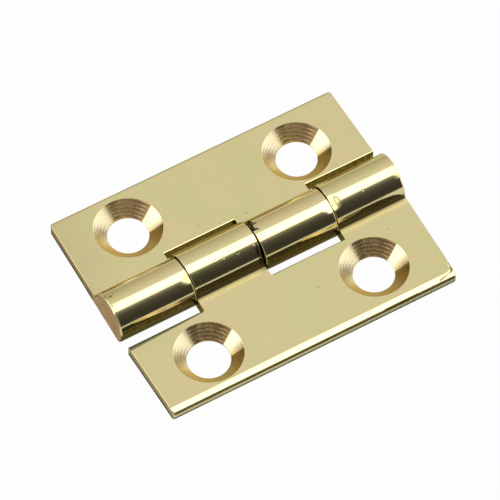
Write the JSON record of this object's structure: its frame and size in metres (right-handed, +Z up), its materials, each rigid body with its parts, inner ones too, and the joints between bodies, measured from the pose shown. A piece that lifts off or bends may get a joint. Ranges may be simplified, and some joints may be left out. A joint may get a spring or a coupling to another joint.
{
  "type": "butt hinge",
  "caption": "Narrow solid butt hinge with flat leaves, countersunk screw holes, interlocking knuckles and a fixed pin, lying open and flat.",
  "frame": {"origin": "under the middle of the pin, level with the flat back faces of both leaves", "axes": "+X along the pin, +Y towards the back leaf, +Z up from the back faces towards the knuckles"},
  "size_m": [0.0256, 0.0196, 0.0033],
  "materials": {
    "polished_brass": "solid drawn brass, polished faces, turned countersinks and ground ends",
    "pin_brass": "drawn brass wire, ends spread and ground flush"
  },
  "bodies": {
    "back_leaf": {"back_leaf": "polished_brass", "hinge_pin": "pin_brass"},
    "front_leaf": {"front_leaf": "polished_brass"}
  },
  "joints": [
    {"name": "pin_hinge", "type": "hinge", "parent": "back_leaf", "child": "front_leaf", "pos_m": [0, 0, 0.00121], "axis": [-1, 0, 0], "range_deg": [-130, 180]}
  ]
}
